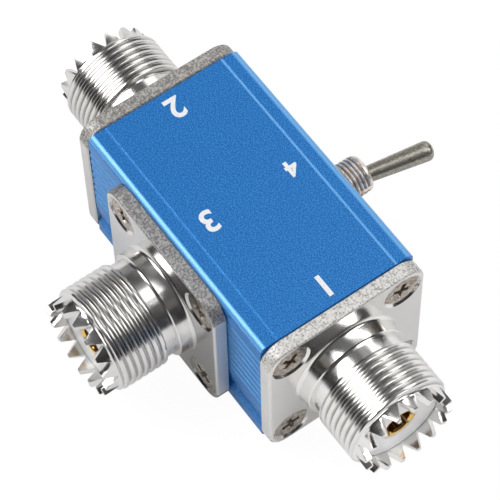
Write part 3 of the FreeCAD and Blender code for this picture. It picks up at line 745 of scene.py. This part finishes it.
def cross_cutter():
    bm = bmesh.new()
    for turned in (0.0, math.pi / 2):
        made = bmesh.ops.create_cube(bm, size=1.0)["verts"]
        for v in made:
            x, length, width = FLOOR if v.co.x < 0 else ABOVE
            v.co = (x * MM, math.copysign(length * MM, v.co.y),
                    math.copysign(width * MM, v.co.z))
        move(bm, Matrix.Rotation(turned, 4, "X"), made)
    return bm


def cut_away(bm, cutter_bm):
    """Take the cutter's shape out of bm, and give back the new bmesh."""
    meshes = [bpy.data.meshes.new("keep"), bpy.data.meshes.new("cut")]
    objs = []
    for mesh, source in zip(meshes, (bm, cutter_bm)):
        source.to_mesh(mesh)
        source.free()
        objs.append(add_object(mesh.name, mesh))
    cut = objs[0].modifiers.new("cut", "BOOLEAN")
    cut.operation, cut.solver, cut.object = "DIFFERENCE", "EXACT", objs[1]
    cut.use_self = True
    graph = bpy.context.evaluated_depsgraph_get()
    done = bpy.data.meshes.new_from_object(objs[0].evaluated_get(graph))
    result = bmesh.new()
    result.from_mesh(done)
    bpy.data.meshes.remove(done)
    for obj in objs:
        bpy.data.objects.remove(obj)
    for mesh in meshes:
        bpy.data.meshes.remove(mesh)
    return result


def one_screw(length):
    outline = [(0.0, 0.0), (0.0, 2.6), (-0.12, 2.75), (-1.4, 1.47), (-length + 0.5, 1.47),
               (-length, 0.97), (-length, 0.0)]
    return cut_away(face_outwards(turn(bmesh.new(), outline, closed=False, steps=64)),
                    cross_cutter())


print("cross recess is", -FLOOR[0], "mm deep")

# %% Four screws for each socket
HEAD_SUNK = 0.25
# length of the screws, and how far each one is turned, in degrees
SCREWS = {"ant1": (7.75, (12, 50, 33, 71)), "ant2": (7.75, (25, 60, 5, 40)),
          "tx": (5.75, (35, 8, 63, 22))}
for side, (length, turns) in SCREWS.items():
    one = bpy.data.meshes.new("screw")
    screw = one_screw(length)
    screw.to_mesh(one)
    screw.free()
    group = bmesh.new()
    for turned, (y, z) in zip(turns, ((-1, -1), (-1, 1), (1, -1), (1, 1))):
        old = set(group.verts)
        group.from_mesh(one)
        head = ((FLANGE_T - HEAD_SUNK) * MM, y * SCREW_AT * MM, z * SCREW_AT * MM)
        move(group, Matrix.Translation(head) @ Matrix.Rotation(math.radians(turned), 4, "X"),
             [v for v in group.verts if v not in old])
    bpy.data.meshes.remove(one)
    piece(side + "_screw_set", move(group, STAND[side]), screw_plate, side + "_screws")

# %% [markdown]
# ## The toggle switch
# Outside the wall stand the threaded bushing with its nut and lock washer, and
# the bat handle. Bushing and handle are turned pieces too, spun about X and stood
# up along Y. The bushing's fine thread is made as the sockets' is, and has the
# same painted shade in its roots. Its nickel is older and warmer than the sockets'.

# %% Aged nickel for the handle, warm nickel for the bushing
# colour of the painted shade in the bushing's thread roots
BUSH_SHADE_TONE = (0.060, 0.040, 0.032, 1.0)

aged, tree, shader = new_finish("aged_nickel", (0.60, 0.55, 0.48), 0.88, 0.32)
stain = noise(tree, 4.6, 3.0, (1.0, 0.7, 1.0))
tone = ramp(tree, stain, "Fac", [(0.32, (0.26, 0.245, 0.205)), (0.50, (0.37, 0.35, 0.30)),
                                (0.68, (0.56, 0.53, 0.47))])
link(tree, tone, "Color", shader, "Base Color")
bump(tree, stain, "Fac", shader, 0.5, 0.015)

warm, tree, shader = new_finish("warm_nickel", (0.80, 0.74, 0.69), 0.80, 0.36)
stain = noise(tree, 1.8, 3.0)
tone = ramp(tree, stain, "Fac", [(0.32, (0.64, 0.53, 0.45)), (0.50, (0.90, 0.81, 0.73)),
                                (0.72, (0.96, 0.91, 0.85))])
# painted shade in the bushing's thread roots
darkened = blend(tree, (attribute(tree, "dirt"), "Fac"), (tone, "Color"), BUSH_SHADE_TONE)
link(tree, darkened, MIX_RESULT, shader, "Base Color")
bump(tree, stain, "Fac", shader, 0.4, 0.02)
print("aged and warm nickel made")

# %% The bushing
UPRIGHT = Matrix.Rotation(math.pi / 2, 4, "Z")
MID_HEIGHT = Matrix.Translation((0, 0, ZC * MM))
BUSH_PITCH, BUSH_ROOT, BUSH_START, BUSH_END = 0.635, 2.70, 10.62, 18.75
BUSH_CONE = 1.2                             # rise of the cones at both ends of the thread
BUSH_TOOTH = [(0.0, BUSH_ROOT), (0.10, 2.705), (0.24, 2.80), (0.34, 2.88), (0.42, BUSH_R),
              (0.58, BUSH_R), (0.66, 2.88), (0.78, 2.80), (0.92, 2.705), (1.0, BUSH_ROOT)]
BUSHING = [(BUSH_START, BUSH_ROOT), (10.6, 3.5), (10.5, 3.6), (10.22, 3.6), (10.22, 2.3),
           (16.4, 2.3), (17.6, 1.8), (17.9, 1.8), (19.4, 2.05), (BUSH_TOP, 2.15),
           (BUSH_TOP, 2.48), (19.42, 2.62), (19.18, 2.80), (18.85, 2.82), (BUSH_END, BUSH_ROOT)]
KEYWAY_AT, KEYWAY_SIZE = (15.5, -3.1, 0.0), (9.7, 1.1, 0.9)
# painted shade in the thread roots: how dark, and the radii where it ends and fades
BUSH_SHADE, BUSH_UNSHADED_FROM, BUSH_FADE, BUSH_SKIN = 0.75, 2.82, 0.12, 2.6


def bush_limit(x):
    """The bushing's thread runs out on a cone at both ends as well."""
    return min(BUSH_R, BUSH_ROOT + (BUSH_END - x) * BUSH_CONE,
               BUSH_ROOT + (x - BUSH_START) * BUSH_CONE)


bm = turn(bmesh.new(), BUSHING, closed=False)
cut_thread(bm, BUSH_START, BUSH_END, BUSH_PITCH, BUSH_TOOTH, bush_limit, steps=96)
face_outwards(bm)
keyway = bmesh.new()
bmesh.ops.create_cube(keyway, size=1.0, matrix=Matrix.Translation(Vector(KEYWAY_AT) * MM)
                      @ Matrix.Diagonal((*(Vector(KEYWAY_SIZE) * MM), 1.0)))
bm = cut_away(bm, keyway)
# painted shade: darker towards the bushing's thread roots
dirt = bm.verts.layers.float.new("dirt")
for v in bm.verts:
    radius = math.hypot(v.co.y, v.co.z) / MM
    if BUSH_START + 0.08 < v.co.x / MM < BUSH_END and radius > BUSH_SKIN:
        v[dirt] = BUSH_SHADE * clamp((BUSH_UNSHADED_FROM - radius) / BUSH_FADE)
piece("bushing_threaded", move(bm, MID_HEIGHT @ UPRIGHT), warm, "toggle_bushing")

# %% The bat handle, leaning as it is thrown
TILT = math.radians(11.0)
HANDLE = [(-7.4, 0.0), (-7.4, 1.0), (-10.0, 1.0), (-10.0, 1.5), (-7.0, 1.5), (-7.0, 0.9),
          (-1.75, 0.9), (-1.5, 1.32), (-1.0, 1.73), (-0.5, 1.94), (0.0, 2.0), (0.5, 1.94),
          (1.0, 1.73), (1.4, 1.43), (1.7, 1.13), (2.2, 1.13), (4.7, 1.235), (8.5, 1.36),
          (12.2, 1.485), (12.95, 1.51), (13.25, 1.465), (13.52, 1.33), (13.75, 1.08),
          (13.9, 0.78), (13.98, 0.42), (14.0, 0.15), (14.0, 0.0)]
bm = face_outwards(turn(bmesh.new(), HANDLE, closed=False, steps=64))
lean = (Matrix.Translation((0, PIVOT_Y * MM, ZC * MM)) @ Matrix.Rotation(-TILT, 4, "Z")
        @ UPRIGHT)
piece("bat_handle", move(bm, lean), aged, "toggle_lever", body="lever")

# %% [markdown]
# ## Nut, washers and everything inside
# These pieces already have their shape in the CAD model. The nut and washers
# get a merged copy, so that their flat faces are shaded flat; the rest only gets
# its finish.

# %% Plain finishes for the small parts
# colour, metallic, roughness, grains per mm, detail, strength and depth of the bump
PLAIN = {"tinned_steel": ((0.60, 0.59, 0.57), 1.0, 0.32, 1.5, 3.0, 0.3, 0.02),
         "red_phenolic": ((0.30, 0.030, 0.018), 0.0, 0.38, 1.2, 3.0, 0.3, 0.03),
         "black_resin": ((0.02, 0.02, 0.022), 0.0, 0.25, 0.6, 2.0, 0.4, 0.06),
         "natural_nylon": ((0.78, 0.75, 0.66), 0.0, 0.40, 1.5, 2.0, 0.2, 0.02),
         "silver_plate": ((0.80, 0.78, 0.74), 1.0, 0.28, 1.3, 3.0, 0.3, 0.02),
         "tinned_copper": ((0.72, 0.70, 0.67), 1.0, 0.26, 1.6, 2.0, 0.3, 0.03)}
plain = {}
for name, (color, metallic, roughness, per_mm, detail, strength, depth) in PLAIN.items():
    plain[name], tree, shader = new_finish(name, color, metallic, roughness)
    bump(tree, noise(tree, per_mm, detail), "Fac", shader, strength, depth)
print("plain finishes:", ", ".join(plain))

# %% Merged copies of the nut and washers
for name, finish in (("outer_nut", warm), ("lock_washer", plain["tinned_steel"]),
                     ("inner_washer", plain["tinned_steel"])):
    piece(name + "_plated", merged_copy(name), finish, name)

# %% Finishes for the pieces that stay as they are
INSIDE = {"tinned_steel": ("toggle_frame", "pivot_pin", "plunger_spring"),
          "red_phenolic": ("toggle_case",), "black_resin": ("terminal_seal",),
          "natural_nylon": ("plunger",),
          "silver_plate": ("rocker_contact", "common_terminal", "ant1_side_terminal",
                           "ant2_side_terminal"),
          "tinned_copper": ("ant1_wire", "ant2_wire", "tx_wire")}
for finish, names in INSIDE.items():
    for name in names:
        nodes[name].data.materials.clear()
        nodes[name].data.materials.append(plain[finish])
print("finished inside:", sum(len(names) for names in INSIDE.values()))

# %% [markdown]
# ## Printed numbers
# The top carries plain white numbers, one for each socket and one for the switch,
# printed in a thin coat of ink. A text curve is turned into a mesh and laid flat
# on the box as a coat of a fiftieth of a millimetre.

# %% White ink
ink, tree, shader = new_finish("white_ink", (0.86, 0.88, 0.90), 0.0, 0.45)
speck = noise(tree, 3.0)
tone = ramp(tree, speck, "Fac", [(0.3, (0.78, 0.81, 0.85)), (0.6, (0.90, 0.91, 0.92))])
link(tree, tone, "Color", shader, "Base Color")

DIGIT_SHARE = 0.70          # a digit's height as a share of the font's size
STROKE = 0.11               # each stroke is made wider by this on both sides
HALF_COAT = 0.01
INK_Z = FLANGE - 0.0105


def number(name, text, x, y, height):
    curve = bpy.data.curves.new(name, "FONT")
    curve.body = text
    curve.size = height * MM / DIGIT_SHARE
    curve.align_x, curve.align_y = "CENTER", "CENTER"
    curve.offset = STROKE * MM
    curve.extrude = HALF_COAT * MM
    obj = add_object(name + "_curve", curve)
    graph = bpy.context.evaluated_depsgraph_get()
    mesh = bpy.data.meshes.new_from_object(obj.evaluated_get(graph))
    bpy.data.objects.remove(obj)
    bpy.data.curves.remove(curve)
    bm = bmesh.new()
    bm.from_mesh(mesh)
    bpy.data.meshes.remove(mesh)
    xs, ys = [v.co.x for v in bm.verts], [v.co.y for v in bm.verts]
    middle = Vector(((min(xs) + max(xs)) / 2, (min(ys) + max(ys)) / 2, 0))
    move(bm, Matrix.Translation((x * MM, y * MM, INK_Z * MM))
         @ Matrix.Rotation(-math.pi / 2, 4, "Z") @ Matrix.Translation(-middle))
    return piece(name, bm, ink, None)


# name, text, x, y, height
NUMBERS = (("number_one", "1", 17.2, 0.0, 3.4), ("number_two", "2", -17.2, 0.0, 3.4),
           ("number_three", "3", 0.3, -6.6, 3.4), ("number_four", "4", 0.0, 7.2, 2.5))
for row in NUMBERS:
    obj = number(*row)

# %% [markdown]
# ## Studio
# A pale floor, a dark grey room and five lamps. Four soft boxes stand high round
# the object: at the back, left, right and top. A fifth one in front only fills
# in, and isn't seen in reflections. Bright metal mostly shows what stands around
# it, so the boxes and three brighter patches of the room are what draws the white
# bands on the barrels. The floor looks white to the camera but still takes the
# object's shadow. In reflections its glow is painted dim near the object, as a
# painted shadow, and paler farther out.

# %% Floor
CAMERA_SHARE = 0.92         # how much of what the camera sees of the floor is plain white
# painted shadow: in reflections the floor's glow fades near the object
DIM_TO, PALE_FROM = 0.040, 0.100        # metres from the middle of the object
DIM, PALE = 0.20, 0.60                  # the same share in reflections

bm = bmesh.new()
bmesh.ops.create_grid(bm, x_segments=1, y_segments=1, size=3.0)
mesh = bpy.data.meshes.new("floor")
bm.to_mesh(mesh)
bm.free()
floor = add_object("floor", mesh)
paper, tree, shader = new_finish("white_paper", (0.90, 0.90, 0.90), 0.0, 0.9)
rays = add_node(tree, "LightPath", {})
mirrored = add_node(tree, "Math", {0: (rays, "Is Glossy Ray"), 1: (rays, "Is Transmission Ray")},
                    operation="MAXIMUM")
away = add_node(tree, "VectorMath", {0: (add_node(tree, "TexCoord", {}), "Object")},
                operation="LENGTH")
pale = add_node(tree, "MapRange", {"Value": (away, "Value"), "From Min": DIM_TO,
                                   "From Max": PALE_FROM, "To Min": DIM, "To Max": PALE},
                interpolation_type="SMOOTHSTEP")
half = add_node(tree, "Math", {0: (mirrored, "Value"), 1: (pale, "Result")},
                operation="MULTIPLY")
share = add_node(tree, "Math", {0: (rays, "Is Camera Ray"), 1: CAMERA_SHARE, 2: (half, "Value")},
                 operation="MULTIPLY_ADD")
glow = add_node(tree, "Emission", {"Color": (1, 1, 1, 1), "Strength": 1.04})
mix = add_node(tree, "MixShader", {"Fac": (share, "Value"), 1: (shader, "BSDF"),
                                   2: (glow, "Emission")})
link(tree, mix, "Shader", tree.nodes["Material Output"], "Surface")
mesh.materials.append(paper)
print("floor made")

# %% Room
WALLS = [(0.0, (0.035, 0.034, 0.036)), (0.25, (0.025, 0.024, 0.026)),
         (0.60, (0.08, 0.08, 0.08)), (1.0, (0.14, 0.14, 0.145))]    # by z of the direction
# direction, cosine of the angle from it where the patch begins and where it is full, brightness
PATCHES = (((-0.7586, 0.6365, 0.139), 0.84, 0.93, 0.50),
           ((-0.2711, 0.3313, 0.9036), 0.983, 0.996, 0.28),
           ((-0.433, 0.888, 0.156), 0.927, 0.985, 0.36))

world = bpy.data.worlds.new("room")
bpy.context.scene.world = world
world.use_nodes = True
tree = world.node_tree
room = tree.nodes["Background"]
towards = add_node(tree, "TexCoord", {})
height = add_node(tree, "SeparateXYZ", {"Vector": (towards, "Generated")})
level = (ramp(tree, height, "Z", WALLS), "Color")
for direction, edge, full, bright in PATCHES:
    facing = add_node(tree, "VectorMath", {0: (towards, "Generated"), 1: direction},
                      operation="DOT_PRODUCT")
    patch = ramp(tree, facing, "Value", [(edge, (0.0, 0.0, 0.0)), (full, (bright,) * 3)])
    level = (blend(tree, 1.0, level, (patch, "Color"), blend_type="ADD", clamp_result=False),
             MIX_RESULT)
link(tree, *level, room, "Color")
rays = add_node(tree, "LightPath", {})
white = add_node(tree, "Background", {"Color": (1, 1, 1, 1)})
mix = add_node(tree, "MixShader", {"Fac": (rays, "Is Camera Ray"), 1: (room, "Background"),
                                   2: (white, "Background")})
link(tree, mix, "Shader", tree.nodes["World Output"], "Surface")
print("room made, with", len(PATCHES), "brighter patches")


# %% Soft boxes
def soft_box(name, azimuth, elevation, distance, width, height, radiance):
    """azimuth is from +X towards +Y; radiance is how bright the box itself looks."""
    data = bpy.data.lights.new(name, "AREA")
    data.shape, data.size, data.size_y = "RECTANGLE", width, height
    data.energy = radiance * math.pi * width * height
    a, e = math.radians(azimuth), math.radians(elevation)
    obj = add_object(name, data)
    obj.location = Vector((math.cos(a) * math.cos(e), math.sin(a) * math.cos(e),
                           math.sin(e))) * distance
    obj.rotation_mode = "QUATERNION"
    obj.rotation_quaternion = (-obj.location).to_track_quat("-Z", "Y")
    print(name, "at", [round(c, 2) for c in obj.location])
    return obj


# name, azimuth and elevation in degrees, distance, width, height, radiance
LAMPS = (("soft_box_back", 123, 40, 1.0, 0.46, 0.42, 1.5),
         ("soft_box_left", -134, 47, 1.0, 0.60, 0.66, 5.2),
         ("soft_box_right", 52, 48, 1.0, 0.38, 0.58, 3.6),
         ("soft_box_top", 76, 73, 1.0, 0.48, 0.28, 2.1),
         ("soft_box_front", -20, 28, 1.2, 0.90, 0.70, 2.2))
lamps = [soft_box(*row) for row in LAMPS]
lamps[-1].visible_glossy = False

bpy.context.scene.view_settings.view_transform = "Standard"
